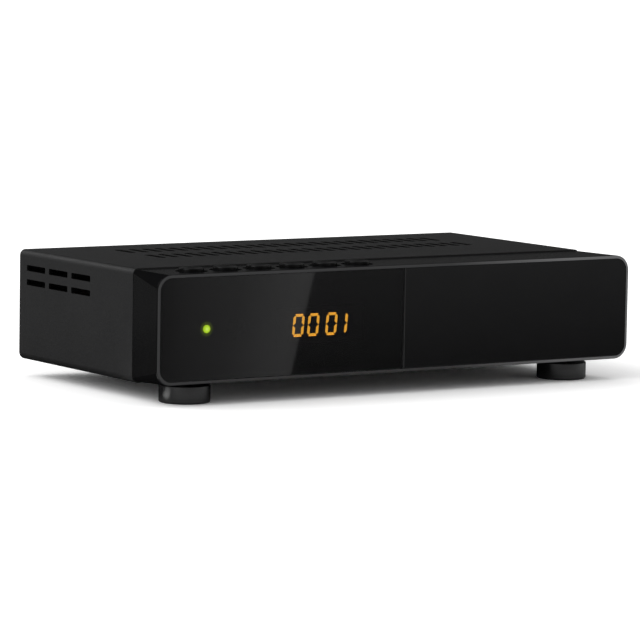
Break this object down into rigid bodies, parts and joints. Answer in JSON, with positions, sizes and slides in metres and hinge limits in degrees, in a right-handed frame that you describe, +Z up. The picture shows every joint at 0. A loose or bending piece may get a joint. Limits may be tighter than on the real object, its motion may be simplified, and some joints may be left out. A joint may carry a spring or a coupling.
{
  "type": "satellite TV receiver",
  "caption": "Low black set-top satellite receiver with a flared gloss front, smoked display window, top buttons, vented sheet cover, round feet and rear sockets.",
  "frame": {"origin": "centre of the overall box, on the surface that the feet stand on", "axes": "+X along the front panel to its right end seen from the front, +Y to the rear, +Z up"},
  "size_m": [0.168, 0.098, 0.0392],
  "materials": {
    "painted_sheet": "fine textured satin black paint",
    "galvanised_sheet": "dull galvanised sheet steel",
    "satin_plastic": "satin moulded black",
    "gloss_plastic": "polished black",
    "smoked_window": "polished smoked acrylic, nearly opaque",
    "button_plastic": "satin moulded black",
    "foot_plastic": "satin moulded dark grey",
    "green_board": "green solder resist",
    "display_face": "dark display face",
    "green_lamp": "clear tinted lamp",
    "infrared_lens": "dark moulded lens",
    "chip_plastic": "moulded black epoxy",
    "socket_metal": "nickel plated",
    "socket_plastic": "moulded black",
    "audio_plastic": "moulded orange",
    "capacitor_sleeve": "shrunk plastic sleeve",
    "connector_plastic": "moulded off-white",
    "ribbon_plastic": "grey ribbon cable",
    "sink_aluminium": "black anodised",
    "screw_steel": "blackened steel"
  },
  "bodies": {
    "receiver": {"top_cover": "painted_sheet", "base_tray": "galvanised_sheet", "rear_panel": "painted_sheet", "front_fascia": "satin_plastic", "display_window": "smoked_window", "front_trim_panel": "gloss_plastic", "key_switch_1": "chip_plastic", "key_switch_2": "chip_plastic", "key_switch_3": "chip_plastic", "key_switch_4": "chip_plastic", "key_switch_5": "chip_plastic", "key_switch_6": "chip_plastic", "foot_front_left": "foot_plastic", "foot_front_right": "foot_plastic", "foot_rear_left": "foot_plastic", "foot_rear_right": "foot_plastic", "main_board": "green_board", "front_board": "green_board", "key_board": "green_board", "digit_display": "display_face", "status_lamp": "green_lamp", "ir_receiver": "infrared_lens", "tuner_can": "galvanised_sheet", "lnb_socket": "socket_metal", "lnb_nut": "socket_metal", "hdmi_socket": "socket_metal", "usb_socket": "socket_metal", "scart_socket": "socket_plastic", "audio_socket": "audio_plastic", "power_inlet": "socket_plastic", "main_processor": "chip_plastic", "heat_sink": "sink_aluminium", "memory_chip": "chip_plastic", "crystal": "socket_metal", "board_connector": "connector_plastic", "capacitor_1": "capacitor_sleeve", "capacitor_2": "capacitor_sleeve", "capacitor_3": "capacitor_sleeve", "power_coil": "chip_plastic", "front_cable": "ribbon_plastic", "board_screw_1": "screw_steel", "board_screw_2": "screw_steel", "board_screw_3": "screw_steel", "board_screw_4": "screw_steel", "front_board_screw_1": "screw_steel", "front_board_screw_2": "screw_steel", "fascia_screw_1": "screw_steel", "fascia_screw_2": "screw_steel", "rear_screw_1": "screw_steel", "rear_screw_2": "screw_steel", "rear_screw_3": "screw_steel", "rear_screw_4": "screw_steel"},
    "button_1": {"button_1": "button_plastic"},
    "button_2": {"button_2": "button_plastic"},
    "button_3": {"button_3": "button_plastic"},
    "button_4": {"button_4": "button_plastic"},
    "button_5": {"button_5": "button_plastic"},
    "button_6": {"button_6": "button_plastic"}
  },
  "joints": [
    {"name": "button_1_press", "type": "slide", "parent": "receiver", "child": "button_1", "axis": [0, 0, -1], "range_m": [0, 0.0005], "stiffness_N_per_m": 1500},
    {"name": "button_2_press", "type": "slide", "parent": "receiver", "child": "button_2", "axis": [0, 0, -1], "range_m": [0, 0.0005], "stiffness_N_per_m": 1500},
    {"name": "button_3_press", "type": "slide", "parent": "receiver", "child": "button_3", "axis": [0, 0, -1], "range_m": [0, 0.0005], "stiffness_N_per_m": 1500},
    {"name": "button_4_press", "type": "slide", "parent": "receiver", "child": "button_4", "axis": [0, 0, -1], "range_m": [0, 0.0005], "stiffness_N_per_m": 1500},
    {"name": "button_5_press", "type": "slide", "parent": "receiver", "child": "button_5", "axis": [0, 0, -1], "range_m": [0, 0.0005], "stiffness_N_per_m": 1500},
    {"name": "button_6_press", "type": "slide", "parent": "receiver", "child": "button_6", "axis": [0, 0, -1], "range_m": [0, 0.0005], "stiffness_N_per_m": 1500}
  ]
}
